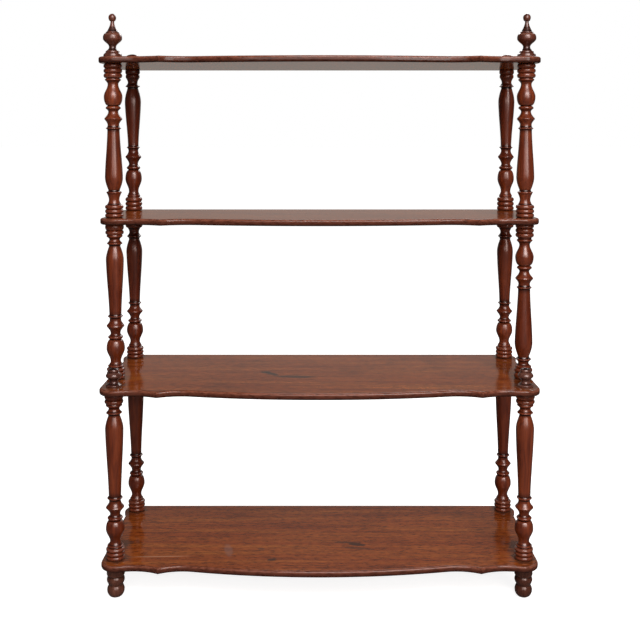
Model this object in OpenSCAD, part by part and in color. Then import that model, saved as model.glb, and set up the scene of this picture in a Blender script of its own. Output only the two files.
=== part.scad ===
// Four-tier wooden standing shelf. Thin boards with a bowed front are carried on stacked
// turned spindles. The origin is on the floor, in the middle of the shelf's width and depth.
// The front faces -Y, and left and right are as seen from the front.

/* [Heights] */
// Height of the feet, from the floor to the underside of the bottom shelf
foot_h = 63; // [55:1:90]
// Clear height between the bottom shelf and the third shelf
bottom_bay_h = 331; // [280:1:420]
// Clear height between the third shelf and the second shelf
middle_bay_h = 312.5; // [280:0.5:420]
// Clear height between the second shelf and the top shelf
top_bay_h = 306; // [280:1:420]
// Height of the two tall finials above the top shelf
tall_finial_h = 86; // [80:1:110]
// Height of the two short finials above the third shelf
short_finial_h = 36; // [34:1:50]
// Height of the two caps that close the back posts, above the top shelf
back_cap_h = 21; // [16:1:30]

/* [Posts] */
// Distance between the axes of the two lower front posts
lower_posts_w = 804; // [700:1:1100]
// How much further out each upper front post stands than the lower one
upper_post_out = 8.5; // [0:0.5:12]
// How much further out each back post stands than the lower front one
back_post_out = 5; // [0:0.5:12]
// Depth from the axes of the back posts to those of the lower front posts
lower_posts_d = 250; // [220:1:400]
// How far the upper front posts stand behind the lower ones
setback = 62.5; // [50:0.5:100]

/* [Boards] */
// Thickness of each shelf board
board_t = 12.5; // [10:0.5:20]
// Rounding of the board's upper and lower edges
edge_r = 4; // [1:0.5:4.5]
// How far the middle of the front edge stands ahead of the front post axes
bow_out = 60; // [50:1:70]
// Radius of the bowed middle of the front edge
bow_r = 1300; // [1100:10:2000]
// How far the hollows of the front edge stand ahead of the front post axes
hollow_out = 34; // [28:1:38]
// Radius of the two hollows that meet in a point on each side of the bow
hollow_r = 100; // [90:1:130]
// Distance from the lower front post's axis inward to that point
point_in = 90; // [80:1:100]
// Radius of each rounded front corner
front_corner_r = 32; // [30:0.5:34]
// How far the centre of a front corner's rounding lies inboard of the post axis
front_corner_in = 6; // [2:0.5:8]
// How far the centre of a front corner's rounding lies ahead of the post axis
front_corner_out = 7; // [4:0.5:10]
// Radius of each back corner, which is concentric with the back post
back_corner_r = 26; // [24:0.5:32]
// How far the side is drawn in next to a back corner
waist_in = 6.5; // [3:0.5:10]
// Radius of the hollow where the side is drawn in
waist_r = 60; // [30:1:90]

/* [Turning] */
// Diameter of the rings at a spindle's ends
ring_d = 36.5; // [34:0.5:38]
// Diameter in the grooves between the rings
groove_d = 28.5; // [28:0.5:33]
// Width of a ring at a spindle's far end
ring_w = 8.5; // [7:0.5:10]
// Width of a base ring on the top spindles
top_base_ring_w = 9.5; // [7:0.5:10]
// Width of a base ring on the bottom and the middle back spindles
slim_base_ring_w = 8; // [7:0.5:10]
// Width of a base ring on the middle front left spindle
left_base_ring_w = 7.5; // [7:0.5:10]
// Width of a base ring on the middle front right spindle
right_base_ring_w = 9; // [7:0.5:10]
// Width of the groove between the base rings and the small ring
base_groove_w = 1.5; // [1:0.5:5]
// Width of the same groove on the middle front right spindle
right_base_groove_w = 4.5; // [1:0.5:5]
// Width of the wide ring that ends a spindle's collar
collar_ring_w = 13; // [9:0.5:14]
// Diameter of the small ring between the rings and the neck
small_ring_d = 31.5; // [29:0.5:33]
// Diameter of the shoulder in its place at the base of a back spindle
back_shoulder_d = 28; // [26:0.5:33]
// Diameter of the necks next to the rings
neck_d = 20.8; // [20:0.2:25]
// Greatest diameter of a front spindle's vase
front_vase_d = 36.5; // [34:0.5:38]
// Greatest diameter of a back spindle's vase
back_vase_d = 35.5; // [34:0.5:38]
// Diameter in the groove between the vase and the bead above it
bead_groove_d = 21; // [20:0.5:25]
// Diameter of the bead above the vase
bead_d = 29.6; // [28:0.2:32]
// Diameter of the thin ring next to the thick end of the taper
thin_ring_d = 30.5; // [28:0.5:33]
// Least diameter of a front spindle's long taper
front_taper_d = 24; // [20:0.5:28]
// Least diameter of a back spindle's long taper
back_taper_d = 22.5; // [20:0.5:28]
// Greatest diameter of a front spindle's long taper
front_club_d = 35.4; // [34:0.2:38]
// Greatest diameter of a back spindle's long taper
back_club_d = 34.6; // [34:0.2:38]
// Length from the rings to the long taper, on the top front spindles
top_front_vase_l = 104; // [90:0.5:120]
// The same length on the top back spindles
top_back_vase_l = 113.5; // [90:0.5:120]
// The same length on the middle front left spindle
middle_left_vase_l = 108.5; // [90:0.5:120]
// The same length on the middle front right spindle
middle_right_vase_l = 105.5; // [90:0.5:120]
// The same length on the middle back spindles
middle_back_vase_l = 101; // [90:0.5:120]
// The same length on the bottom front spindles
bottom_front_vase_l = 102.5; // [90:0.5:120]
// The same length on the bottom back spindles
bottom_back_vase_l = 105; // [90:0.5:120]
// Greatest diameter of a tall finial's bulb
bulb_d = 37.4; // [34:0.2:40]
// Diameter of the ball on a tall finial
ball_d = 15; // [14:0.2:18]
// Greatest diameter of a short finial's bulb
short_bulb_d = 30.6; // [28:0.2:34]
// Greatest diameter of a back post's cap
cap_d = 36; // [34:0.5:38]
// Greatest diameter of a foot's ball
foot_ball_d = 34; // [30:0.2:38]
// Greatest diameter of the ring above a foot's ball
foot_ring_d = 34.8; // [32:0.2:38]

/* [Joints] */
// Diameter of the turned tenons
tenon_d = 14; // [10:0.5:15]
// How far a tenon reaches into the piece below the board
tenon_reach = 26; // [15:1:28]
// Clearance all round between a tenon and its hole
tenon_fit = 0.2; // [0.1:0.05:0.4]
// Space left between a tenon's end and the bottom of its socket
socket_relief = 2; // [1:0.5:3]
// Chamfer on a tenon's end
tenon_chamfer = 1; // [0.5:0.5:2]

/* [Hidden] */

LEFT = -1;
RIGHT = 1;
WOOD = "#6b2f1c";
DARK_WOOD = "#55261a";
$fn = 64;

// Undersides of the boards
bottom_z = foot_h;
third_z = bottom_z + board_t + bottom_bay_h;
second_z = third_z + board_t + middle_bay_h;
top_z = second_z + board_t + top_bay_h;

// Places of the posts, with the box of the lower boards centred on the origin
lower_x = lower_posts_w / 2;
upper_x = lower_x + upper_post_out;
back_x = lower_x + back_post_out;
back_y = (lower_posts_d + bow_out - back_corner_r) / 2;
lower_y = back_y - lower_posts_d;
upper_y = lower_y + setback;

bore_d = tenon_d + 2 * tenon_fit;
through_tenon_l = board_t + tenon_reach;
socket_l = tenon_reach + socket_relief;

// A turned profile is a list of stretches. Each is its length along the axis, the diameter
// that it reaches, and its shape: a straight cone, an even S, a long taper that eases into
// both ends, a round bead, a round cove, a slim swell or a slim sweep.
CONE = 0;
EASE = 1;
TAPER = 2;
BEAD = 3;
COVE = 4;
SWELL = 5;
SWEEP = 6;
// Number of steps that a stretch of each shape is drawn with
STEPS = [1, 7, 8, 4, 4, 5, 5];

function eased(s) = (1 - cos(180 * s)) / 2;
function early(s) = [1 - cos(90 * s), sin(90 * s)];
function late(s) = [sin(90 * s), 1 - cos(90 * s)];

// Share of the length and share of the change of diameter at step s, from 0 to 1
function shares(shape, rising, s) =
    shape == EASE ? [s, eased(s)]
    : shape == TAPER ? [s, (s + eased(s)) / 2]
    : shape == BEAD ? (rising ? early(s) : late(s))
    : shape == COVE ? (rising ? late(s) : early(s))
    : shape == SWELL ? [s, rising ? sin(90 * s) : 1 - cos(90 * s)]
    : shape == SWEEP ? [s, rising ? 1 - cos(90 * s) : sin(90 * s)]
    : [s, s];

// Length of the first n stretches
function run(stretches, n) = n == 0 ? 0 : stretches[n - 1][0] + run(stretches, n - 1);

// Points, as radius and height, of a profile that starts with a diameter at height 0
function turned(start_d, stretches) = [
    [start_d / 2, 0],
    for (i = [0 : len(stretches) - 1])
        let (
            low = run(stretches, i),
            from_d = i == 0 ? start_d : stretches[i - 1][1],
            to_d = stretches[i][1],
            steps = STEPS[stretches[i][2]]
        )
        for (k = [1 : steps])
            let (share = shares(stretches[i][2], to_d > from_d, k / steps))
            [
                (from_d + (to_d - from_d) * share[1]) / 2,
                low + stretches[i][0] * share[0]
            ]
];

// The same points with the profile's ends changed over
function upside_down(points, height) = [
    for (i = [len(points) - 1 : -1 : 0]) [points[i][0], height - points[i][1]]
];

// One ring between two grooves
function ring(width, d, between_d) = [[width / 2, d, BEAD], [width / 2, between_d, BEAD]];

// Stretches drawn out or pressed together to a whole length
function fitted(stretches, length) =
    let (share = length / run(stretches, len(stretches)))
    [for (s = stretches) [s[0] * share, s[1], s[2]]];

function three_rings(width) = [for (i = [1 : 3]) each ring(width, ring_d, groove_d)];

// From the rings at a spindle's base up to the start of its long taper
function vase_part(groove_w, shoulder_d, vase_d, taper_d) =
    let (
        sharp_ring_d = vase_d - 1,
        taper_ring_d = taper_d + 5.6
    )
    [
        [groove_w, groove_d - 1.5, COVE],
        [2, shoulder_d, BEAD],
        [1, shoulder_d - 1, BEAD],
        [8, neck_d, SWEEP],
        [25.5, vase_d, EASE],
        [18, bead_groove_d, BEAD],
        [4.5, bead_d, SWELL],
        [2, bead_d - 2.4, BEAD],
        [5.5, neck_d - 1.3, SWEEP],
        [13.5, sharp_ring_d - 1, SWEEP],
        [1.2, sharp_ring_d, CONE],
        [1.3, sharp_ring_d - 1, CONE],
        [11, taper_d - 1.3, SWEEP],
        [6, taper_ring_d - 1, COVE],
        [1, taper_ring_d, BEAD],
        [1, taper_ring_d - 1, BEAD],
        [3.5, taper_d, COVE],
    ];

// From the thickest place of the long taper over its thin ring
function club_fall(fall_l, rise_l) = [
    [fall_l, neck_d + 1.8, SWELL],
    [rise_l, thin_ring_d - 1, COVE],
    [1, thin_ring_d, BEAD],
    [1, thin_ring_d - 1, BEAD],
];

// A spindle's other end with a collar of a small, a middling and a wide ring
collar_end = [
    each club_fall(27.5, 5),
    [7, neck_d, SWEEP],
    [5.5, small_ring_d - 1, SWEEP],
    [1.5, small_ring_d, BEAD],
    [1.5, small_ring_d - 1, BEAD],
    [1.5, groove_d + 1, CONE],
    each ring(ring_w, ring_d, groove_d + 1),
    each ring(collar_ring_w, ring_d + 0.5, groove_d + 1),
];

// The same end with two slim rings, on the top back spindles
slim_end = [
    each club_fall(31, 3),
    [7, neck_d, SWEEP],
    [9.5, small_ring_d - 4, SWEEP],
    [3.5, small_ring_d - 1.5, BEAD],
    [5, small_ring_d - 5.5, BEAD],
    [4.5, small_ring_d, BEAD],
    [5.5, small_ring_d - 2.5, BEAD],
];

// The same end with three rings, on the top front and middle back spindles
function ringed_end(fall_l, rise_l, neck_l) = [
    each club_fall(fall_l, rise_l),
    [neck_l, neck_d, SWEEP],
    [10, groove_d, SWEEP],
    each three_rings(ring_w),
];

function spindle_profile(height, rings, vase, club_d, far_end) =
    let (
        near_end = [each rings, each vase],
        taper_l = height - run(near_end, len(near_end)) - run(far_end, len(far_end))
    )
    turned(groove_d, [each near_end, [taper_l, club_d, TAPER], each far_end]);

function front_profile(height, base_ring_w, groove_w, vase_l, far_end) =
    let (vase = fitted(vase_part(groove_w, small_ring_d, front_vase_d, front_taper_d), vase_l))
    spindle_profile(height, three_rings(base_ring_w), vase, front_club_d, far_end);

function back_profile(height, base_ring_w, vase_l, far_end) =
    let (vase = fitted(vase_part(base_groove_w, back_shoulder_d, back_vase_d, back_taper_d), vase_l))
    spindle_profile(height, three_rings(base_ring_w), vase, back_club_d, far_end);

// Points of a chamfered tenon that hangs below height 0
function tenon(length) = [
    [0, -length],
    [tenon_d / 2 - tenon_chamfer, -length],
    [tenon_d / 2, tenon_chamfer - length],
    [tenon_d / 2, 0],
];

// Points of a socket in the top of a piece
function socket(height) = [
    [bore_d / 2, height],
    [bore_d / 2, height - socket_l],
    [0, height - socket_l],
];

module spindle(side, x, y, z, height, profile, tenon_l) {
    color(WOOD)
        translate([side * x, y, z])
        rotate_extrude()
        polygon([each tenon(tenon_l), each profile, each socket(height)]);
}

module top_spindle_front(side) {
    far_end = ringed_end(26, 3.5, 14);
    upright = front_profile(top_bay_h, top_base_ring_w, base_groove_w, top_front_vase_l, far_end);
    profile = upside_down(upright, top_bay_h);
    spindle(side, upper_x, upper_y, second_z + board_t, top_bay_h, profile, through_tenon_l);
}

module top_spindle_back(side) {
    profile = back_profile(top_bay_h, top_base_ring_w, top_back_vase_l, slim_end);
    spindle(side, back_x, back_y, second_z + board_t, top_bay_h, profile, through_tenon_l);
}

// The two middle front spindles stand on the third shelf only, so their tenons end with its
// underside. The left one stands on its three rings and the right one hangs from them.
module middle_spindle_front_left() {
    profile = front_profile(
        middle_bay_h, left_base_ring_w, base_groove_w, middle_left_vase_l, collar_end
    );
    spindle(LEFT, upper_x, upper_y, third_z + board_t, middle_bay_h, profile, board_t);
}

module middle_spindle_front_right() {
    upright = front_profile(
        middle_bay_h, right_base_ring_w, right_base_groove_w, middle_right_vase_l, collar_end
    );
    profile = upside_down(upright, middle_bay_h);
    spindle(RIGHT, upper_x, upper_y, third_z + board_t, middle_bay_h, profile, board_t);
}

module middle_spindle_back(side) {
    far_end = ringed_end(27.5, 6, 8);
    profile = back_profile(middle_bay_h, slim_base_ring_w, middle_back_vase_l, far_end);
    spindle(side, back_x, back_y, third_z + board_t, middle_bay_h, profile, through_tenon_l);
}

module bottom_spindle_front(side) {
    profile = front_profile(
        bottom_bay_h, slim_base_ring_w, base_groove_w, bottom_front_vase_l, collar_end
    );
    spindle(side, lower_x, lower_y, bottom_z + board_t, bottom_bay_h, profile, through_tenon_l);
}

module bottom_spindle_back(side) {
    profile = back_profile(bottom_bay_h, slim_base_ring_w, bottom_back_vase_l, collar_end);
    spindle(side, back_x, back_y, bottom_z + board_t, bottom_bay_h, profile, through_tenon_l);
}

module tall_finial(side) {
    base_and_bulb = [
        [2.5, 36.4, SWELL],
        [3.5, 35.2, SWELL],
        [4.5, 27.4, SWEEP],
        [1.5, 26.2, BEAD],
        [7.5, 14, SWEEP],
        [1.5, 14, CONE],
        [15.5, bulb_d - 0.2, EASE],
        [2, bulb_d, SWELL],
        [9, 25.4, BEAD],
        [1.2, 26, SWELL],
        [1.8, 21.8, BEAD],
    ];
    neck_and_ball_d = 7.2;
    neck_l = tall_finial_h - ball_d - run(base_and_bulb, len(base_and_bulb));
    color(WOOD)
        translate([side * upper_x, upper_y, top_z + board_t])
        rotate_extrude()
        polygon([
            each tenon(through_tenon_l),
            each turned(36, [
                each base_and_bulb,
                [neck_l, neck_and_ball_d, SWEEP],
                [ball_d / 2, ball_d, BEAD],
                [ball_d / 2, 0, BEAD],
            ]),
        ]);
}

module short_finial(side) {
    base_and_bulb = [
        [1.5, 30, BEAD],
        [1.5, 29, BEAD],
        [7, 16.4, SWEEP],
        [1.5, 16.4, CONE],
        [9, short_bulb_d, EASE],
        [8, 19.5, SWELL],
    ];
    knob_l = short_finial_h - run(base_and_bulb, len(base_and_bulb));
    color(DARK_WOOD)
        translate([side * lower_x, lower_y, third_z + board_t])
        rotate_extrude()
        polygon([
            each tenon(through_tenon_l),
            each turned(29, [
                each base_and_bulb,
                [knob_l / 4, 21.4, BEAD],
                [knob_l / 4, 19.6, BEAD],
                [knob_l / 2, 0, BEAD],
            ]),
        ]);
}

module back_cap(side) {
    rim = [
        [2.5, cap_d, BEAD],
        [3, cap_d - 2, SWELL],
        [3, cap_d - 6, COVE],
        [2.5, cap_d - 3, SWELL],
    ];
    dome_l = back_cap_h - run(rim, len(rim));
    color(WOOD)
        translate([side * back_x, back_y, top_z + board_t])
        rotate_extrude()
        polygon([
            each tenon(through_tenon_l),
            each turned(cap_d - 2, [each rim, [dome_l, 0, BEAD]]),
        ]);
}

module foot(side, x, y) {
    // From the ball's flat end on the floor up to the widest place of the collar
    pad_d = 12;
    low_groove_d = foot_ring_d - 7;
    high_groove_d = foot_ring_d - 4;
    collar_d = foot_ring_d + 0.6;
    ball_to_collar = [
        [14.5, foot_ball_d, BEAD],
        [9.5, low_groove_d, SWELL],
        [1.5, low_groove_d, CONE],
        [9.5, foot_ring_d, SWELL],
        [6.5, high_groove_d, SWELL],
        [5, collar_d, SWELL],
    ];
    collar_l = foot_h - run(ball_to_collar, len(ball_to_collar));
    color(DARK_WOOD)
        translate([side * x, y, 0])
        rotate_extrude()
        polygon([
            [0, 0],
            each turned(pad_d, [each ball_to_collar, [collar_l, collar_d - 1, CONE]]),
            each socket(foot_h),
        ]);
}

// Plan of a board, with its front toward -Y

// Points on a circle from one angle to another
function arc(centre, r, from_a, to_a, steps) = [
    for (i = [0 : steps])
        let (a = from_a + (to_a - from_a) * i / steps)
        centre + r * [cos(a), sin(a)]
];

// Direction from one point to another
function bearing(from, to) = atan2(to[1] - from[1], to[0] - from[0]);

// The place, right of the line from p to q, that lies at distance r from p and s from q
function apart(p, r, q, s) =
    let (
        d = norm(q - p),
        along = (r * r - s * s + d * d) / (2 * d),
        aside = sqrt(r * r - along * along),
        u = (q - p) / d
    )
    p + along * u + aside * [u[1], -u[0]];

// Right half of the edge, from the middle of the front round to the back corner. It is
// worked out with the front toward +Y and the back posts at depth 0, then turned over.
function half_outline(post_x, post_d) =
    let (
        corner = [post_x - front_corner_in, post_d + front_corner_out],
        outer = [
            corner[0] - sqrt(
                pow(hollow_r + front_corner_r, 2)
                - pow(post_d + hollow_out + hollow_r - corner[1], 2)
            ),
            post_d + hollow_out + hollow_r
        ],
        point_x = lower_x - point_in,
        point = [point_x, outer[1] - sqrt(pow(hollow_r, 2) - pow(outer[0] - point_x, 2))],
        bow = [0, post_d + bow_out - bow_r],
        inner = apart(point, hollow_r, bow, bow_r + hollow_r),
        back_corner = [back_x, 0],
        waist_x = back_x + back_corner_r - waist_in + waist_r,
        waist = [waist_x, sqrt(pow(back_corner_r + waist_r, 2) - pow(waist_x - back_x, 2))]
    )
    [
        each arc(bow, bow_r, 90, bearing(bow, inner), 10),
        each arc(inner, hollow_r, bearing(inner, bow), bearing(inner, point), 6),
        each arc(outer, hollow_r, bearing(outer, point), bearing(outer, corner), 7),
        each arc(corner, front_corner_r, bearing(corner, outer), 0, 10),
        each arc(waist, waist_r, 180, 360 + bearing(waist, back_corner), 3),
        each arc(back_corner, back_corner_r, bearing(back_corner, waist), -90, 10),
    ];

// Whole edge, each point once
function outline(post_x, post_d) =
    let (
        half = half_outline(post_x, post_d),
        right = [for (i = [0 : len(half) - 1]) if (i == 0 || norm(half[i] - half[i - 1]) > 0.01) half[i]],
        n = len(right)
    )
    [
        for (p = right) [p[0], back_y - p[1]],
        for (i = [n - 1 : -1 : 1]) [-right[i][0], back_y - right[i][1]],
    ];

// The outline with each side moved inward by a distance
function drawn_in(points, distance) = [
    for (i = [0 : len(points) - 1])
        let (
            before = points[(i + len(points) - 1) % len(points)],
            after = points[(i + 1) % len(points)],
            u = (points[i] - before) / norm(points[i] - before),
            v = (after - points[i]) / norm(after - points[i]),
            inward = [-u[1] - v[1], u[0] + v[0]]
        )
        points[i] + inward * distance / (1 + u * v)
];

// Distance inward and height of each level of the rounded edge, from the underside up
edge_steps = 3;
edge_levels = [
    for (i = [0 : edge_steps])
        let (a = 90 * i / edge_steps)
        [edge_r * (1 - sin(a)), edge_r * (1 - cos(a))],
    for (i = [edge_steps : -1 : 0])
        let (a = 90 * i / edge_steps)
        [edge_r * (1 - sin(a)), board_t - edge_r * (1 - cos(a))],
];

// A board with rounded edges, its underside at height 0
module board(points) {
    n = len(points);
    levels = len(edge_levels);
    // The two faces are drawn in triangles from a place that sees the whole edge
    low_middle = levels * n;
    high_middle = low_middle + 1;
    vertices = [
        for (level = edge_levels)
            for (p = drawn_in(points, level[0])) [p[0], p[1], level[1]],
        [0, back_y, 0],
        [0, back_y, board_t],
    ];
    underside = [for (i = [0 : n - 1]) [low_middle, i, (i + 1) % n]];
    top = [for (i = [0 : n - 1]) [high_middle, (levels - 1) * n + (i + 1) % n, (levels - 1) * n + i]];
    edge = [
        for (k = [0 : levels - 2])
            for (i = [0 : n - 1])
                let (j = (i + 1) % n)
                [k * n + i, (k + 1) * n + i, (k + 1) * n + j, k * n + j]
    ];
    polyhedron(vertices, [each underside, each edge, each top]);
}

// A board with a hole for each post that goes into it
module shelf(z, post_x, post_y, posts) {
    color(WOOD)
        translate([0, 0, z])
        difference() {
            board(outline(post_x, back_y - post_y));
            for (post = posts)
                for (side = [LEFT, RIGHT])
                    translate([side * post[0], post[1], -1])
                    cylinder(d = bore_d, h = board_t + 2);
        }
}

module upper_shelf(z) {
    shelf(z, upper_x, upper_y, [[upper_x, upper_y], [back_x, back_y]]);
}

module third_shelf() {
    shelf(third_z, lower_x, lower_y, [[lower_x, lower_y], [upper_x, upper_y], [back_x, back_y]]);
}

module bottom_shelf() {
    shelf(bottom_z, lower_x, lower_y, [[lower_x, lower_y], [back_x, back_y]]);
}

upper_shelf(top_z);  // top_shelf
upper_shelf(second_z);  // second_shelf
third_shelf();
bottom_shelf();
top_spindle_front(LEFT);  // top_spindle_front_left
top_spindle_front(RIGHT);  // top_spindle_front_right
top_spindle_back(LEFT);  // top_spindle_back_left
top_spindle_back(RIGHT);  // top_spindle_back_right
middle_spindle_front_left();
middle_spindle_front_right();
middle_spindle_back(LEFT);  // middle_spindle_back_left
middle_spindle_back(RIGHT);  // middle_spindle_back_right
bottom_spindle_front(LEFT);  // bottom_spindle_front_left
bottom_spindle_front(RIGHT);  // bottom_spindle_front_right
bottom_spindle_back(LEFT);  // bottom_spindle_back_left
bottom_spindle_back(RIGHT);  // bottom_spindle_back_right
tall_finial(LEFT);  // tall_finial_left
tall_finial(RIGHT);  // tall_finial_right
short_finial(LEFT);  // short_finial_left
short_finial(RIGHT);  // short_finial_right
back_cap(LEFT);  // back_cap_left
back_cap(RIGHT);  // back_cap_right
foot(LEFT, lower_x, lower_y);  // foot_front_left
foot(RIGHT, lower_x, lower_y);  // foot_front_right
foot(LEFT, back_x, back_y);  // foot_back_left
foot(RIGHT, back_x, back_y);  // foot_back_right
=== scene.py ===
import math

import bmesh
import bpy
from mathutils import Matrix, Vector


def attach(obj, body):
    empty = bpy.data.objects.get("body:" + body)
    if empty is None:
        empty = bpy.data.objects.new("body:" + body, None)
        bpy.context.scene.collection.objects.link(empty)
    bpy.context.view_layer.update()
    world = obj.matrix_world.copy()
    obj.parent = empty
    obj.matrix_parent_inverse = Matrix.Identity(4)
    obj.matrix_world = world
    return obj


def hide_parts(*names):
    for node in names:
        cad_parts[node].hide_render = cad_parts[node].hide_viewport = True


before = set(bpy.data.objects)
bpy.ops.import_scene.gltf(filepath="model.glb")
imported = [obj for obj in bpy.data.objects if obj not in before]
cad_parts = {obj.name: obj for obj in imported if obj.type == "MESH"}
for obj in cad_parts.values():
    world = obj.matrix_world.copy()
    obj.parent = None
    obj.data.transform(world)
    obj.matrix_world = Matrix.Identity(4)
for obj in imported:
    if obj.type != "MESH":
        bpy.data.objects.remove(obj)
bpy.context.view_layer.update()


# Feet. Four ball feet of red-brown hardwood, each turned in one piece with a ball, a thick ring and a
# flared collar. A socket in the top takes the tenon of the post above. The polish still shines, but
# it has worn thin; its grooves are painted darker, partly as dirt and partly as painted shade, and
# its ridges paler, partly as wear and partly as a painted highlight.

# The shelf's sizes are in millimetres, and its places on the plan are (x, y) from the middle
MM = 0.001
SIDES = {"left": -1, "right": 1}
FLOOR_TO_BOTTOM_SHELF = 63
LOWER_FRONT_POST = (402, -108)
BACK_POST = (407, 142)
FOOT_PAD = 12
TENON_ACROSS = 14
SOCKET_ACROSS = 14.4
SOCKET_DEPTH = 28
TENON_CHAMFER = 1
TURNED_SIDES = 72
SHARP_CUT = math.radians(38)
# How rubbed a place is, and so how dark its groove is painted with dirt and painted shade or how pale
# its ridge with wear and a painted highlight, follows from how far it stands out from the mean radius
# within this reach above and below it. From the deepest groove to the highest ridge that is 5.
RIDGE_REACH = 3.5
GROOVE_TO_RIDGE = 5
# Joints and tips up to this radius are left out of the mean
JOINT_R = 7.5


def linear(code):
    """A colour written as sRGB hex, as the linear light that the shaders take."""
    parts = [int(code[i:i + 2], 16) / 255 for i in (1, 3, 5)]
    return [p / 12.92 if p < 0.04045 else ((p + 0.055) / 1.055) ** 2.4 for p in parts] + [1]


def add(tree, kind, values=None, links=None, **settings):
    """Adds a node with its settings, its inputs' values and the sockets linked into it."""
    node = tree.nodes.new(kind)
    for name, value in settings.items():
        setattr(node, name, value)
    for name, value in (values or {}).items():
        node.inputs[name].default_value = value
    for name, socket in (links or {}).items():
        tree.links.new(socket, node.inputs[name])
    return node


def stops(ramp, *colours):
    """Sets a colour ramp's stops, each a place and a hex colour."""
    while len(ramp.color_ramp.elements) < len(colours):
        ramp.color_ramp.elements.new(1)
    for element, (place, code) in zip(ramp.color_ramp.elements, colours):
        element.position = place
        element.color = linear(code)
    return ramp.outputs["Color"]


def shade(tree, wood, pattern, amount, *colours):
    """Multiplies a wood's colour by a ramp over a pattern, by an amount from 0 to 1."""
    ramp = add(tree, "ShaderNodeValToRGB", links={0: pattern})
    mixed = add(tree, "ShaderNodeMix", {"Factor": amount}, {6: wood, 7: stops(ramp, *colours)},
                data_type="RGBA", blend_type="MULTIPLY")
    return mixed.outputs[2]


def new_material(name):
    material = bpy.data.materials.new(name)
    material.use_nodes = True
    return material, material.node_tree


def turned_polish(name, dark, middle, light, worn, dullness):
    """Stained mahogany, turned on a lathe and French polished: grain along the length, grooves
    painted dark, partly as old polish and dirt and partly as painted shade, ridges worn shinier and
    painted paler, partly as wear and partly as a painted highlight, and a soft shine."""
    material, tree = new_material(name)
    shader = tree.nodes["Principled BSDF"]
    place = add(tree, "ShaderNodeTexCoord").outputs["Object"]
    # Figure 6 mm wide and 90 mm long, and pores 1.5 mm wide, coarser than the real ones
    along = add(tree, "ShaderNodeMapping", {"Scale": (160, 160, 11)}, {"Vector": place})
    figure = add(tree, "ShaderNodeTexNoise", {"Scale": 1, "Detail": 3, "Distortion": 0.6},
                 {"Vector": along.outputs[0]})
    along = add(tree, "ShaderNodeMapping", {"Scale": (650, 650, 30)}, {"Vector": place})
    pores = add(tree, "ShaderNodeTexNoise", {"Scale": 1, "Detail": 4, "Roughness": 0.6},
                {"Vector": along.outputs[0]})
    # The tone changes from one stretch of 110 mm to the next
    tone = add(tree, "ShaderNodeTexNoise", {"Scale": 9, "Detail": 1}, {"Vector": place})
    wood = stops(add(tree, "ShaderNodeValToRGB", links={0: figure.outputs[0]}),
                 (0.25, dark), (0.5, middle), (0.75, light))
    wood = shade(tree, wood, pores.outputs[0], 0.5, (0.3, "#8f8079"), (0.6, "#ffffff"))
    wood = shade(tree, wood, tone.outputs[0], 0.8, (0.3, "#b79f98"), (0.7, "#ffffff"))
    dirt_wear_and_painted_light = add(tree, "ShaderNodeAttribute", attribute_name="dirt_wear_and_painted_light").outputs["Fac"]
    # Grooves are painted darker, partly as dirt and old polish and partly as painted shade
    wood = shade(tree, wood, dirt_wear_and_painted_light, 1, (0.15, "#452920"), (0.5, "#ffffff"))
    # Ridges are painted paler, partly as wear and partly as a painted highlight
    ridge_wear_and_highlight = add(tree, "ShaderNodeMapRange", {"From Min": 0.58, "From Max": 0.9, "To Max": 0.5},
                {"Value": dirt_wear_and_painted_light})
    wood = add(tree, "ShaderNodeMix", {7: linear(worn)}, {0: ridge_wear_and_highlight.outputs[0], 6: wood},
               data_type="RGBA")
    tree.links.new(wood.outputs[2], shader.inputs["Base Color"])
    dull = add(tree, "ShaderNodeMapRange", {"To Min": dullness, "To Max": dullness + 0.1},
               {"Value": tone.outputs[0]})
    # Ridges are rubbed to a higher shine
    dull = add(tree, "ShaderNodeMath", {1: -0.5}, {0: ridge_wear_and_highlight.outputs[0], 2: dull.outputs[0]},
               operation="MULTIPLY_ADD")
    tree.links.new(dull.outputs[0], shader.inputs["Roughness"])
    marks = add(tree, "ShaderNodeBump", {"Strength": 0.04, "Distance": 0.0002},
                {"Height": pores.outputs[0]})
    tree.links.new(marks.outputs[0], shader.inputs["Normal"])
    shader.inputs["IOR"].default_value = 1.5
    shader.inputs["Specular IOR Level"].default_value = 0.5
    shader.inputs["Specular Tint"].default_value = (1, 0.82, 0.79, 1)
    shader.inputs["Coat Weight"].default_value = 0.12
    shader.inputs["Coat Roughness"].default_value = 0.2
    return material


def early(s):
    """A quarter round that goes across before it goes along."""
    return 1 - math.cos(math.pi / 2 * s), math.sin(math.pi / 2 * s)


def late(s):
    """A quarter round that goes along before it goes across."""
    return math.sin(math.pi / 2 * s), 1 - math.cos(math.pi / 2 * s)


# How a gouge goes from one diameter to the next: straight, in an even S, in a long taper, round
# outward or inward, or in a slim swell or sweep. Each has a number of steps, and a function that
# gives how far along and how far across the cut has come at a share s, going up or down in width.
CUTS = {
    "cone": (1, lambda s, up: (s, s)),
    "ease": (12, lambda s, up: (s, 0.5 - 0.5 * math.cos(math.pi * s))),
    "taper": (14, lambda s, up: (s, s / 2 + 0.25 - 0.25 * math.cos(math.pi * s))),
    "bead": (7, lambda s, up: early(s) if up else late(s)),
    "cove": (7, lambda s, up: late(s) if up else early(s)),
    "swell": (8, lambda s, up: (s, early(s)[1] if up else early(s)[0])),
    "sweep": (8, lambda s, up: (s, early(s)[0] if up else early(s)[1])),
}


def length_of(cuts):
    return sum(cut[0] for cut in cuts)


def profile(start, cuts):
    """Radius and height along a piece that starts with a diameter at height 0. Each cut is its
    length, the diameter that it reaches and the way there."""
    points = [(start / 2, 0)]
    height, across = 0, start
    for long, to, way in cuts:
        steps, shape = CUTS[way]
        for k in range(1, steps + 1):
            along, change = shape(k / steps, to > across)
            points.append(((across + (to - across) * change) / 2, height + long * along))
        height, across = height + long, to
    return points


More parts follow.
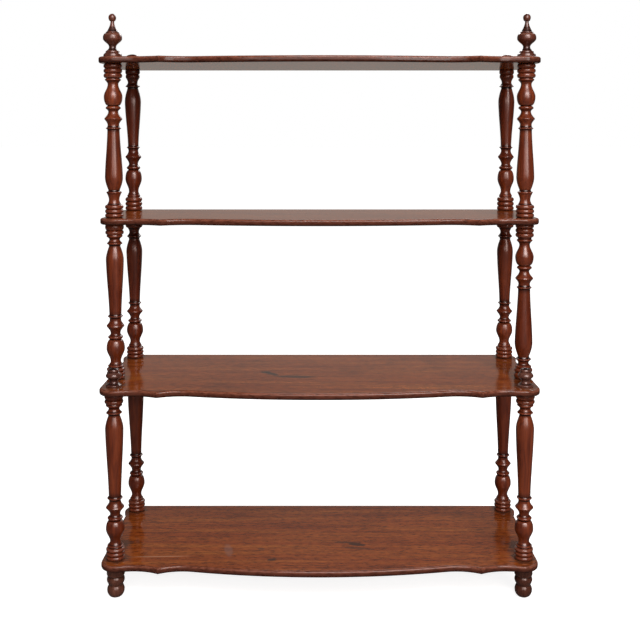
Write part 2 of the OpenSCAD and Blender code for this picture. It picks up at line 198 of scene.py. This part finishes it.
def tenon(long):
    """The chamfered round tenon under a turned piece, from its end up to height 0."""
    r = TENON_ACROSS / 2
    return [(0, -long), (r - TENON_CHAMFER, -long), (r, TENON_CHAMFER - long), (r, 0)]


def socket(height):
    """The hole in the top of a turned piece."""
    r = SOCKET_ACROSS / 2
    return [(r, height), (r, height - SOCKET_DEPTH), (0, height - SOCKET_DEPTH)]


def new_object(name, bm, mesh_name, material):
    """Makes an object of a bmesh, at the origin, with one material."""
    mesh = bpy.data.meshes.new(mesh_name)
    bm.to_mesh(mesh)
    bm.free()
    mesh.materials.append(material)
    made = bpy.data.objects.new(name, mesh)
    bpy.context.scene.collection.objects.link(made)
    return made


def turn(name, points, spot, z, material):
    """Spins a profile into a turned piece at a spot on the plan, and lets it stand for its node. Its
    attribute is 0 in a groove, which the polish paints dark as dirt and painted shade, and 1 on a
    ridge, which it paints pale as wear and a painted highlight."""
    bm = bmesh.new()
    dirt_wear_and_painted_light = bm.verts.layers.float.new("dirt_wear_and_painted_light")
    chain = [bm.verts.new((r * MM, 0, h * MM)) for r, h in points]
    for vert, (r, h) in zip(chain, points):
        near = [a for a, b in points if abs(b - h) < RIDGE_REACH and a > JOINT_R]
        stands_out = (r - sum(near) / len(near)) / GROOVE_TO_RIDGE if near else 0
        vert[dirt_wear_and_painted_light] = min(1, max(0, 0.5 + stands_out))
    edges = [bm.edges.new(pair) for pair in zip(chain, chain[1:])]
    bmesh.ops.spin(bm, geom=chain + edges, cent=(0, 0, 0), axis=(0, 0, 1), angle=2 * math.pi,
                   steps=TURNED_SIDES, use_merge=True)
    bmesh.ops.remove_doubles(bm, verts=bm.verts, dist=1e-6)
    bmesh.ops.recalc_face_normals(bm, faces=bm.faces)
    for face in bm.faces:
        face.smooth = True
    for edge in bm.edges:
        edge.smooth = edge.calc_face_angle(0) < SHARP_CUT
    bmesh.ops.translate(bm, verts=bm.verts, vec=(spot[0] * MM, spot[1] * MM, z * MM))
    piece = new_object("turned_" + name, bm, name, material)
    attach(piece, "root")
    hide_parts(name)


foot_polish = turned_polish("worn_polished_mahogany_foot",
                            "#46281d", "#502f23", "#5a372a", "#6a4c3e", 0.2)
foot_cuts = [
    (14.5, 34, "bead"), (9.5, 27.8, "swell"), (1.5, 27.8, "cone"), (9.5, 34.8, "swell"),
    (6.5, 30.8, "swell"), (5, 35.4, "swell"), (16.5, 34.4, "cone"),
]
foot = [(0, 0), *profile(FOOT_PAD, foot_cuts), *socket(FLOOR_TO_BOTTOM_SHELF)]
for hand, side in SIDES.items():
    for row, (x, y) in (("front", LOWER_FRONT_POST), ("back", BACK_POST)):
        turn(f"foot_{row}_{hand}", foot, (side * x, y), 0, foot_polish)


# Shelf boards. Four thin boards of the same wood, cut with a bowed front that ends in a sharp point
# on each side, a hollow next to it and round corners. Their edges are rounded over and painted
# darker, darkest at the bottom as painted shade, and pale along the top, partly worn and partly a
# painted highlight. Their faces keep the long grain, stains and scratches of use.

BOARD = 12.5
ROUNDED_EDGE = 4
BAYS = {"bottom": 331, "middle": 312.5, "top": 306}
BOTTOM_SHELF = FLOOR_TO_BOTTOM_SHELF
THIRD_SHELF = BOTTOM_SHELF + BOARD + BAYS["bottom"]
SECOND_SHELF = THIRD_SHELF + BOARD + BAYS["middle"]
TOP_SHELF = SECOND_SHELF + BOARD + BAYS["top"]
UPPER_FRONT_POST = (410.5, -45.5)
# The bow and the hollows beside it stand out from the line of the front posts
BOW_OUT = 60
BOW_R = 1300
HOLLOW_OUT = 34
HOLLOW_R = 100
# The points between them lie this far inboard of the lower front posts
POINT_IN = 90
# The centre of a front corner lies inboard and ahead of its post's axis
FRONT_CORNER_R = 32
FRONT_CORNER_IN = 6
FRONT_CORNER_OUT = 7
# A back corner is round about its post, and the waist of the side comes in ahead of it
BACK_CORNER_R = 26
WAIST_IN = 6.5
WAIST_R = 60
EDGE_STEPS = 6
HOLE_SIDES = 48
SHARP_EDGE = math.radians(30)
# The tops of the two lower boards, where the marks lie
THIRD_TOP = THIRD_SHELF + BOARD
BOTTOM_TOP = BOTTOM_SHELF + BOARD
MARK_DEPTH = 4
# Dirt and painted shade lie round every post where it meets the boards, and one mark goes down
# through all four boards
DIRT_AND_SHADE_ACROSS = 64
DIRT_AND_SHADE_DEPTH = 5000

# Where things stood and scraped: place, size, angle, colour and strength of each mark. The last
# one is a pale scratch, drawn wide to show.
SCARS = [
    ((-111, 3, THIRD_TOP), (28, 22), -10, "#1c1412", 0.9),
    ((-98, -10, THIRD_TOP), (50, 18), -46, "#1c1412", 0.9),
    ((-50, -34, THIRD_TOP), (100, 24), -3, "#2a1812", 0.85),
    ((12, -80, THIRD_TOP), (60, 12), 4, "#4a2414", 0.4),
    ((75, -42, BOTTOM_TOP), (46, 20), -18, "#2a160f", 0.9),
    ((50, -33, BOTTOM_TOP), (56, 14), -4, "#351b10", 0.7),
    ((76, -62, BOTTOM_TOP), (70, 15), -8, "#351b10", 0.6),
    ((-94, -114, BOTTOM_TOP), (26, 14), 25, "#2a1a15", 0.75),
    ((-118, -65, BOTTOM_TOP), (18, 14), 0, "#3a241b", 0.55),
    ((-385, -31, BOTTOM_TOP), (16, 16), 0, "#33231f", 0.6),
    ((-183, -70, BOTTOM_TOP), (20, 74), 10, "#6a5350", 0.3),
    ((-315, -100, BOTTOM_TOP), (150, 6), 2, "#b58a6c", 0.3),
]


def scar(tree, place, rough, wood, spot, size, angle, code, strength, deep=MARK_DEPTH):
    """A mark on the top of a board: an ellipse round a spot, with its rim broken up by the grain."""
    half = (size[0] / 2 * MM, size[1] / 2 * MM, deep * MM)
    local = add(tree, "ShaderNodeMapping", {
        "Location": [v * MM for v in spot], "Rotation": (0, 0, math.radians(angle)), "Scale": half,
    }, {"Vector": place}, vector_type="TEXTURE")
    reach = add(tree, "ShaderNodeVectorMath", links={0: local.outputs[0]}, operation="LENGTH")
    reach = add(tree, "ShaderNodeMath", links={0: reach.outputs["Value"], 1: rough}, operation="ADD")
    cover = add(tree, "ShaderNodeMapRange", {"From Min": 1.5, "From Max": 1.05, "To Max": strength},
                {"Value": reach.outputs[0]}, interpolation_type="SMOOTHSTEP")
    mixed = add(tree, "ShaderNodeMix", {7: linear(code)}, {0: cover.outputs[0], 6: wood},
                data_type="RGBA")
    return mixed.outputs[2]


def board_polish():
    """Stained mahogany, sawn and planed flat and French polished: fine grain along the board, a few
    clouds and scars, edges painted darker toward the bottom as painted shade and paler along the
    arris, partly as wear and partly as a painted highlight, and a coat of polish that mirrors the
    posts."""
    material, tree = new_material("french_polished_mahogany_board")
    shader = tree.nodes["Principled BSDF"]
    place = add(tree, "ShaderNodeTexCoord").outputs["Object"]
    # Figure 20 mm wide and 350 mm long, grain 3 mm wide and 14 mm long, drawn coarse to show
    along = add(tree, "ShaderNodeMapping", {"Scale": (2.8, 50, 50)}, {"Vector": place})
    figure = add(tree, "ShaderNodeTexNoise", {"Scale": 1, "Detail": 3, "Distortion": 0.5},
                 {"Vector": along.outputs[0]})
    along = add(tree, "ShaderNodeMapping", {"Scale": (70, 300, 300)}, {"Vector": place})
    grain = add(tree, "ShaderNodeTexNoise", {"Scale": 1, "Detail": 5, "Roughness": 0.72},
                {"Vector": along.outputs[0]}).outputs[0]
    # Dark lines of pores, 3 mm wide and 150 mm long
    along = add(tree, "ShaderNodeMapping", {"Scale": (7, 300, 300)}, {"Vector": place})
    lines = add(tree, "ShaderNodeTexNoise", {"Scale": 1, "Detail": 2}, {"Vector": along.outputs[0]})
    # Clouds 90 mm wide
    stains = add(tree, "ShaderNodeTexNoise", {"Scale": 11, "Detail": 3, "Roughness": 0.6},
                 {"Vector": place}).outputs[0]
    wood = stops(add(tree, "ShaderNodeValToRGB", links={0: figure.outputs[0]}),
                 (0.25, "#682c11"), (0.5, "#773915"), (0.75, "#85491d"))
    wood = shade(tree, wood, grain, 0.75, (0.36, "#70584d"), (0.57, "#ffffff"))
    wood = shade(tree, wood, lines.outputs[0], 0.5, (0.35, "#a08478"), (0.5, "#ffffff"))
    wood = shade(tree, wood, stains, 0.3, (0.3, "#94786c"), (0.45, "#ffffff"))
    for mark in SCARS:
        wood = scar(tree, place, grain, wood, *mark)
    # Round each post every board gets a dark ring, partly dirt and partly painted shade where the
    # post meets it
    for x, y in (LOWER_FRONT_POST, UPPER_FRONT_POST, BACK_POST):
        for side in SIDES.values():
            wood = scar(tree, place, grain, wood, (side * x, y, 0), (DIRT_AND_SHADE_ACROSS, DIRT_AND_SHADE_ACROSS), 0,
                        "#38231b", 0.75, DIRT_AND_SHADE_DEPTH)
    # Round the edge the board is painted darker, darkest at the bottom as painted shade, and paler
    # along the upper arris, partly as bare wood and partly as a painted highlight
    edge = add(tree, "ShaderNodeAttribute", attribute_name="edge").outputs["Fac"]
    edge_wear_shade_and_highlight = stops(add(tree, "ShaderNodeValToRGB", links={0: edge}),
                    (0.25, "#2a150f"), (0.65, "#46241a"), (0.88, "#643a2c"))
    edge_wear_shade_and_highlight = shade(tree, edge_wear_shade_and_highlight, grain, 0.7, (0.36, "#6a5048"), (0.55, "#ffffff"))
    on_edge = add(tree, "ShaderNodeMapRange", {"From Min": 0.05, "From Max": 0.15}, {"Value": edge})
    wood = add(tree, "ShaderNodeMix", links={0: on_edge.outputs[0], 6: wood, 7: edge_wear_shade_and_highlight},
               data_type="RGBA")
    tree.links.new(wood.outputs[2], shader.inputs["Base Color"])
    dull = add(tree, "ShaderNodeMapRange", {"To Min": 0.3, "To Max": 0.5}, {"Value": stains})
    tree.links.new(dull.outputs[0], shader.inputs["Roughness"])
    marks = add(tree, "ShaderNodeBump", {"Strength": 0.15, "Distance": 0.0002}, {"Height": grain})
    tree.links.new(marks.outputs[0], shader.inputs["Normal"])
    # All of the board's shine is in its coat, which is rubbed off along the edge
    polish = add(tree, "ShaderNodeMapRange", {"To Min": 0.8, "To Max": 0.35},
                 {"Value": on_edge.outputs[0]})
    tree.links.new(polish.outputs[0], shader.inputs["Coat Weight"])
    shader.inputs["Coat Roughness"].default_value = 0.13
    shader.inputs["IOR"].default_value = 1.5
    shader.inputs["Specular IOR Level"].default_value = 0
    return material


def arc(centre, r, start, end, steps):
    """Points round a circle, with both angles in radians."""
    angles = [start + (end - start) * i / steps for i in range(steps + 1)]
    return [centre + r * Vector((math.cos(a), math.sin(a))) for a in angles]


def bearing(start, end):
    return math.atan2(end.y - start.y, end.x - start.x)


def apart(p, r, q, s):
    """The place, right of the line from p to q, at distance r from p and s from q."""
    d = (q - p).length
    along = (r * r - s * s + d * d) / (2 * d)
    u = (q - p) / d
    return p + along * u + math.sqrt(r * r - along * along) * Vector((u.y, -u.x))


def board_edge(post_x, post_y):
    """Half of a board's edge, from the middle of the front round the right side to the back.
    It is set out with the front toward +Y from the line of the back posts, then turned over."""
    depth = BACK_POST[1] - post_y
    corner = Vector((post_x - FRONT_CORNER_IN, depth + FRONT_CORNER_OUT))
    outer_y = depth + HOLLOW_OUT + HOLLOW_R
    touching = HOLLOW_R + FRONT_CORNER_R
    outer = Vector((corner.x - math.sqrt(touching ** 2 - (outer_y - corner.y) ** 2), outer_y))
    point_x = LOWER_FRONT_POST[0] - POINT_IN
    point = Vector((point_x, outer.y - math.sqrt(HOLLOW_R ** 2 - (outer.x - point_x) ** 2)))
    bow = Vector((0, depth + BOW_OUT - BOW_R))
    inner = apart(point, HOLLOW_R, bow, BOW_R + HOLLOW_R)
    back = Vector((BACK_POST[0], 0))
    waist_x = back.x + BACK_CORNER_R - WAIST_IN + WAIST_R
    touching = BACK_CORNER_R + WAIST_R
    waist = Vector((waist_x, math.sqrt(touching ** 2 - (waist_x - back.x) ** 2)))
    half = [
        *arc(bow, BOW_R, math.pi / 2, bearing(bow, inner), 24),
        *arc(inner, HOLLOW_R, bearing(inner, bow), bearing(inner, point), 12),
        *arc(outer, HOLLOW_R, bearing(outer, point), bearing(outer, corner), 14),
        *arc(corner, FRONT_CORNER_R, bearing(corner, outer), 0, 18),
        *arc(waist, WAIST_R, math.pi, 2 * math.pi + bearing(waist, back), 6),
        *arc(back, BACK_CORNER_R, bearing(back, waist), -math.pi / 2, 16),
    ]
    half = [p for i, p in enumerate(half) if i == 0 or (p - half[i - 1]).length > 0.01]
    return [(p.x, BACK_POST[1] - p.y) for p in half]


def cut_board(name, z, front_post, posts, material):
    """Saws a board to its outline, rounds its edges over and drills the holes for the posts."""
    half = board_edge(*front_post)
    outline = half + [(-x, y) for x, y in reversed(half[1:])]
    bm = bmesh.new()
    rim = bm.verts.layers.float.new("edge")
    blank = bm.faces.new([bm.verts.new((x * MM, y * MM, z * MM)) for x, y in outline])
    raised = bmesh.ops.extrude_face_region(bm, geom=[blank])["geom"]
    bmesh.ops.translate(bm, vec=(0, 0, BOARD * MM),
                        verts=[v for v in raised if isinstance(v, bmesh.types.BMVert)])
    bmesh.ops.recalc_face_normals(bm, faces=bm.faces)
    rims = [e for e in bm.edges if abs(e.verts[0].co.z - e.verts[1].co.z) < 1e-6]
    bmesh.ops.bevel(bm, geom=rims, offset=ROUNDED_EDGE * MM, segments=EDGE_STEPS, profile=0.5,
                    affect="EDGES", material=-1)
    # The two flat faces are cut out and filled again round the holes
    faces = [f for f in bm.faces if abs(f.normal.z) > 0.999 and f.calc_area() > 0.1]
    loops = [list(f.edges) for f in sorted(faces, key=lambda f: f.calc_center_median().z)]
    bmesh.ops.delete(bm, geom=faces, context="FACES_ONLY")
    holes = []
    for x, y in posts:
        for side in SIDES.values():
            ends = []
            for lift in (0, BOARD):
                spot = Matrix.Translation((side * x * MM, y * MM, (z + lift) * MM))
                circle = bmesh.ops.create_circle(bm, segments=HOLE_SIDES,
                                                 radius=SOCKET_ACROSS / 2 * MM, matrix=spot)
                ends.append(list({e for v in circle["verts"] for e in v.link_edges}))
            holes.append(ends)
    for end, loop in enumerate(loops):
        bounds = loop + [e for ends in holes for e in ends[end]]
        bmesh.ops.triangle_fill(bm, use_beauty=True, edges=bounds)
    for ends in holes:
        bmesh.ops.bridge_loops(bm, edges=ends[0] + ends[1])
    bmesh.ops.recalc_face_normals(bm, faces=bm.faces)
    for face in bm.faces:
        face.smooth = abs(face.normal.z) < 0.9999
    for edge in bm.edges:
        edge.smooth = edge.calc_face_angle(0) < SHARP_EDGE
    # 0 on the flat faces and round the holes, and on the edge its height, from 0.2 to 1
    for vert in bm.verts:
        x, y, up = abs(vert.co.x) / MM, vert.co.y / MM, (vert.co.z / MM - z) / BOARD
        in_hole = any(math.hypot(x - a, y - b) < SOCKET_ACROSS / 2 + 0.8 for a, b in posts)
        vert[rim] = 0 if in_hole or abs(up - 0.5) > 0.499 else 0.2 + 0.8 * up
    piece = new_object("board_" + name, bm, name, material)
    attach(piece, "root")
    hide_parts(name)


boards = board_polish()
upper_posts = [UPPER_FRONT_POST, BACK_POST]
cut_board("bottom_shelf", BOTTOM_SHELF, LOWER_FRONT_POST, [LOWER_FRONT_POST, BACK_POST], boards)
cut_board("third_shelf", THIRD_SHELF, LOWER_FRONT_POST, [LOWER_FRONT_POST, *upper_posts], boards)
cut_board("second_shelf", SECOND_SHELF, UPPER_FRONT_POST, upper_posts, boards)
cut_board("top_shelf", TOP_SHELF, UPPER_FRONT_POST, upper_posts, boards)


# Spindles. Twelve posts between the boards, turned to one pattern by eye, so their lengths
# differ a little: three rings, a vase, a bead, a sharp ring, a long taper that swells to a
# club, and a collar or three more rings. Some stand on their rings and some hang from them.

# Diameters
GROOVE = 28.5
RING = 36.5
SMALL_RING = 31.5
NECK = 20.8
BEAD_GROOVE = 21
BEAD = 29.6
THIN_RING = 30.5
FRONT_SPINDLE = {"shoulder": SMALL_RING, "vase": 36.5, "thin": 24, "club": 35.4}
BACK_SPINDLE = {"shoulder": 28, "vase": 35.5, "thin": 22.5, "club": 34.6}
# Lengths
END_RING = 8.5
COLLAR_RING = 13
TENON_REACH = 26
LONG_TENON = BOARD + TENON_REACH


def ring(wide, across, groove):
    return [(wide / 2, across, "bead"), (wide / 2, groove, "bead")]


def club_fall(fall, rise):
    """From the thickest place of the long taper over its thin ring."""
    return [(fall, NECK + 1.8, "swell"), (rise, THIN_RING - 1, "cove"), (1, THIN_RING, "bead"),
            (1, THIN_RING - 1, "bead")]


def ringed_end(fall, rise, neck):
    return [*club_fall(fall, rise), (neck, NECK, "sweep"), (10, GROOVE, "sweep"),
            *3 * ring(END_RING, RING, GROOVE)]


collar_end = [
    *club_fall(27.5, 5), (7, NECK, "sweep"), (5.5, SMALL_RING - 1, "sweep"),
    (1.5, SMALL_RING, "bead"), (1.5, SMALL_RING - 1, "bead"), (1.5, GROOVE + 1, "cone"),
    *ring(END_RING, RING, GROOVE + 1), *ring(COLLAR_RING, RING + 0.5, GROOVE + 1),
]
slim_end = [
    *club_fall(31, 3), (7, NECK, "sweep"), (9.5, SMALL_RING - 4, "sweep"),
    (3.5, SMALL_RING - 1.5, "bead"), (5, SMALL_RING - 5.5, "bead"), (4.5, SMALL_RING, "bead"),
    (5.5, SMALL_RING - 2.5, "bead"),
]


def spindle(height, base_ring, groove, vase_length, far_end, shoulder, vase, thin, club):
    """A spindle that stands on its three rings, with its vase part drawn out to a length."""
    vase_part = [
        (groove, GROOVE - 1.5, "cove"), (2, shoulder, "bead"), (1, shoulder - 1, "bead"),
        (8, NECK, "sweep"), (25.5, vase, "ease"), (18, BEAD_GROOVE, "bead"), (4.5, BEAD, "swell"),
        (2, BEAD - 2.4, "bead"), (5.5, NECK - 1.3, "sweep"), (13.5, vase - 2, "sweep"),
        (1.2, vase - 1, "cone"), (1.3, vase - 2, "cone"), (11, thin - 1.3, "sweep"),
        (6, thin + 4.6, "cove"), (1, thin + 5.6, "bead"), (1, thin + 4.6, "bead"),
        (3.5, thin, "cove"),
    ]
    share = vase_length / length_of(vase_part)
    near_end = 3 * ring(base_ring, RING, GROOVE) + [(a * share, to, way) for a, to, way in vase_part]
    taper = height - length_of(near_end) - length_of(far_end)
    return profile(GROOVE, [*near_end, (taper, club, "taper"), *far_end])


def base_up(points, height):
    return [(r, height - h) for r, h in reversed(points)]


spindle_polish = turned_polish("french_polished_mahogany_spindle",
                               "#461a0b", "#5c2610", "#6e3217", "#603e34", 0.25)
# The back spindles and caps take their own copy of the polish, its colours set for how they are lit
# at the back, so the difference from the front ones is painted light
back_polish = turned_polish("back_spindle_mahogany_set_for_its_light",
                            "#481a0b", "#5e2610", "#703216", "#5e3a2e", 0.25)
# Bay, shelf below, width of a base ring and of the groove above them, length of the vase part,
# and far end. The front ones also have their post, whether their base is up, and their tenon.
for hand, side in SIDES.items():
    middle = (7.5, 1.5, 108.5) if hand == "left" else (9, 4.5, 105.5)
    fronts = [
        ("bottom", BOTTOM_SHELF, 8, 1.5, 102.5, collar_end, LOWER_FRONT_POST, False, LONG_TENON),
        ("middle", THIRD_SHELF, *middle, collar_end, UPPER_FRONT_POST, hand == "right", BOARD),
        ("top", SECOND_SHELF, 9.5, 1.5, 104, ringed_end(26, 3.5, 14), UPPER_FRONT_POST, True,
         LONG_TENON),
    ]
    for bay, shelf, *sizes, (x, y), upended, tenon_length in fronts:
        height = BAYS[bay]
        points = spindle(height, *sizes, **FRONT_SPINDLE)
        points = base_up(points, height) if upended else points
        turn(f"{bay}_spindle_front_{hand}", [*tenon(tenon_length), *points, *socket(height)],
             (side * x, y), shelf + BOARD, spindle_polish)
    backs = [
        ("bottom", BOTTOM_SHELF, 8, 1.5, 105, collar_end),
        ("middle", THIRD_SHELF, 8, 1.5, 101, ringed_end(27.5, 6, 8)),
        ("top", SECOND_SHELF, 9.5, 1.5, 113.5, slim_end),
    ]
    for bay, shelf, *sizes in backs:
        height = BAYS[bay]
        points = spindle(height, *sizes, **BACK_SPINDLE)
        turn(f"{bay}_spindle_back_{hand}", [*tenon(LONG_TENON), *points, *socket(height)],
             (side * BACK_POST[0], BACK_POST[1]), shelf + BOARD, back_polish)


# Finials and caps. Two tall finials with a bulb and a small ball close the upper front posts,
# two short ones the lower front posts, and low caps the back ones. Their tenons hold the boards
# down. Dust has dulled the tall ones, and dusting has worn the short ones nearly bare on top.

TALL_FINIAL = 86
BALL = 15
TALL_BULB = 37.2
SHORT_FINIAL = 36
SHORT_BULB = 30.6
BACK_CAP = 21

tall_base = [
    (2.5, 36.4, "swell"), (3.5, 35.2, "swell"), (4.5, 27.4, "sweep"), (1.5, 26.2, "bead"),
    (7.5, 14, "sweep"), (1.5, 14, "cone"), (15.5, TALL_BULB, "ease"),
    (2, TALL_BULB + 0.2, "swell"), (9, 25.4, "bead"), (1.2, 26, "swell"), (1.8, 21.8, "bead"),
]
tall_neck = TALL_FINIAL - BALL - length_of(tall_base)
tall = profile(36, [*tall_base, (tall_neck, 7.2, "sweep"), *ring(BALL, BALL, 0)])
short_base = [
    (1.5, 30, "bead"), (1.5, 29, "bead"), (7, 16.4, "sweep"), (1.5, 16.4, "cone"),
    (9, SHORT_BULB, "ease"), (8, 19.5, "swell"),
]
knob = SHORT_FINIAL - length_of(short_base)
short = profile(29, [*short_base, (knob / 4, 21.4, "bead"), (knob / 4, 19.6, "bead"),
                     (knob / 2, 0, "bead")])
cap_rim = [(2.5, 36, "bead"), (3, 34, "swell"), (3, 30, "cove"), (2.5, 33, "swell")]
cap = profile(34, [*cap_rim, (BACK_CAP - length_of(cap_rim), 0, "bead")])
tall_polish = turned_polish("dusty_mahogany_tall_finial",
                            "#3c1f16", "#4c281d", "#5c3226", "#644236", 0.24)
short_polish = turned_polish("worn_mahogany_short_finial",
                             "#382019", "#4c2c24", "#5c3c32", "#6e5549", 0.22)
for hand, side in SIDES.items():
    for name, points, (x, y), shelf, polish in (
            ("tall_finial", tall, UPPER_FRONT_POST, TOP_SHELF, tall_polish),
            ("short_finial", short, LOWER_FRONT_POST, THIRD_SHELF, short_polish),
            ("back_cap", cap, BACK_POST, TOP_SHELF, back_polish)):
        turn(f"{name}_{hand}", [*tenon(LONG_TENON), *points], (side * x, y), shelf + BOARD, polish)


# Studio. White paper on the floor and a white room, which the camera sees as plain white with a
# faint shadow under the shelf. The polish mirrors a dim grey wall, darker toward its top, and a
# dark floor instead, as it does in the photograph. No metal or glass on the shelf would show it.

PAPER = 0.4
PAPER_IN_POLISH = 0.08
# The paper glows white, but a little less round the shelf, so that its shadow shows. These are
# distances from the middle, in metres.
GLOW_AT_SHELF = 0.86
SHADOW_FROM = 0.4
SHADOW_TO = 0.6
FLOOR_HALF = 60
WALL_HALF = 2.5
WALL_PLACE = (0, 3, 1.5)

paper, tree = new_material("white_paper_sweep")
tree.nodes.clear()
ray = add(tree, "ShaderNodeLightPath")
lit = add(tree, "ShaderNodeBsdfDiffuse", {"Color": (PAPER, PAPER, PAPER, 1)})
place = add(tree, "ShaderNodeTexCoord").outputs["Object"]
away = add(tree, "ShaderNodeVectorMath", links={0: place}, operation="LENGTH")
white = add(tree, "ShaderNodeMapRange", {
    "From Min": SHADOW_FROM, "From Max": SHADOW_TO, "To Min": GLOW_AT_SHELF, "To Max": 1,
}, {"Value": away.outputs["Value"]})
glow = add(tree, "ShaderNodeEmission", {"Color": (1, 1, 1, 1)}, {"Strength": white.outputs[0]})
seen = add(tree, "ShaderNodeAddShader", links={0: lit.outputs[0], 1: glow.outputs[0]})
dim = add(tree, "ShaderNodeMapRange", {"To Min": PAPER, "To Max": PAPER_IN_POLISH},
          {"Value": ray.outputs["Is Glossy Ray"]})
unseen = add(tree, "ShaderNodeBsdfDiffuse", links={"Color": dim.outputs[0]})
mixed = add(tree, "ShaderNodeMixShader", links={
    0: ray.outputs["Is Camera Ray"], 1: unseen.outputs[0], 2: seen.outputs[0]})
add(tree, "ShaderNodeOutputMaterial", links={"Surface": mixed.outputs[0]})
bm = bmesh.new()
bmesh.ops.create_grid(bm, x_segments=1, y_segments=1, size=FLOOR_HALF)
floor = new_object("studio_floor", bm, "studio_floor", paper)

paint, tree = new_material("grey_wall")
tree.nodes.clear()
place = add(tree, "ShaderNodeTexCoord").outputs["Object"]
above_floor = add(tree, "ShaderNodeSeparateXYZ", links={0: place}).outputs["Z"]
# It darkens from 0.95 m above the floor up to 1.5 m
fade = add(tree, "ShaderNodeMapRange", {
    "From Min": 0.95, "From Max": 1.5, "To Min": 0.42, "To Max": 0.16,
}, {"Value": above_floor})
shine = add(tree, "ShaderNodeEmission", {"Color": (1, 0.9, 0.82, 1)}, {"Strength": fade.outputs[0]})
add(tree, "ShaderNodeOutputMaterial", links={"Surface": shine.outputs[0]})
bm = bmesh.new()
upright = Matrix.Translation(WALL_PLACE) @ Matrix.Rotation(math.pi / 2, 4, "X")
bmesh.ops.create_grid(bm, x_segments=1, y_segments=1, size=WALL_HALF, matrix=upright)
wall = new_object("studio_wall", bm, "studio_wall", paint)
# The camera and the light do not meet this wall, only the polish mirrors it
wall.visible_camera = False
wall.visible_diffuse = False
wall.visible_shadow = False

# The room is white to the camera, dimmer in the light that it gives, and dark in the polish
world = bpy.data.worlds.new("studio_room")
bpy.context.scene.world = world
world.use_nodes = True
tree = world.node_tree
tree.nodes.clear()
ray = add(tree, "ShaderNodeLightPath")
room = add(tree, "ShaderNodeMapRange", {"To Min": 0.2, "To Max": 0.05},
           {"Value": ray.outputs["Is Glossy Ray"]})
brightness = add(tree, "ShaderNodeMix", {3: 1}, {0: ray.outputs["Is Camera Ray"], 2: room.outputs[0]})
sky = add(tree, "ShaderNodeBackground", {"Color": (1, 1, 1, 1)}, {"Strength": brightness.outputs[0]})
add(tree, "ShaderNodeOutputWorld", links={"Surface": sky.outputs[0]})


def soft_box(name, spot, aim, size, watts, colour):
    """A soft box at a spot, aimed at a height over the middle of the floor, all in metres."""
    light = bpy.data.lights.new(name, "AREA")
    light.shape = "RECTANGLE"
    light.size, light.size_y = size
    light.energy = watts
    light.color = linear(colour)[:3]
    lamp = bpy.data.objects.new(name, light)
    lamp.location = spot
    toward = Vector((0, 0, aim)) - Vector(spot)
    lamp.rotation_euler = toward.to_track_quat("-Z", "Y").to_euler()
    bpy.context.scene.collection.objects.link(lamp)


# The key and the fill stand side by side in front, so that they make one soft highlight, a
# little right of the middle. The top box lights the boards, and the back one the far side.
soft_box("key_soft_box", (1.15, -2.5, 1.65), 0.6, (0.9, 1.7), 50, "#fff4ee")
soft_box("fill_soft_box", (-0.1, -3.0, 1.75), 0.6, (2.0, 1.7), 46, "#fff4ee")
soft_box("top_soft_box", (0.6, -2.7, 3.15), 0.5, (2.4, 1.4), 160, "#ffffff")
soft_box("back_soft_box", (0.6, 2.8, 2.4), 0.5, (2.0, 1.0), 45, "#ffffff")

# The camera stands 2 m from the middle, as high as the upper spindles, and looks down a little.
# Its lens is shifted down, which brings the feet into view as in the photograph.
LOOKS_DOWN = 0.0504
lens = bpy.data.cameras.new("photograph_camera")
lens.lens = 55
lens.sensor_width = 36
lens.shift_x = 0.0006
lens.shift_y = -0.2136
camera = bpy.data.objects.new("photograph_camera", lens)
camera.location = (0, -1.9955, 0.9107)
camera.rotation_euler = (math.pi / 2 - LOOKS_DOWN, 0, 0)
bpy.context.scene.collection.objects.link(camera)
bpy.context.scene.camera = camera
bpy.context.scene.view_settings.view_transform = "Standard"
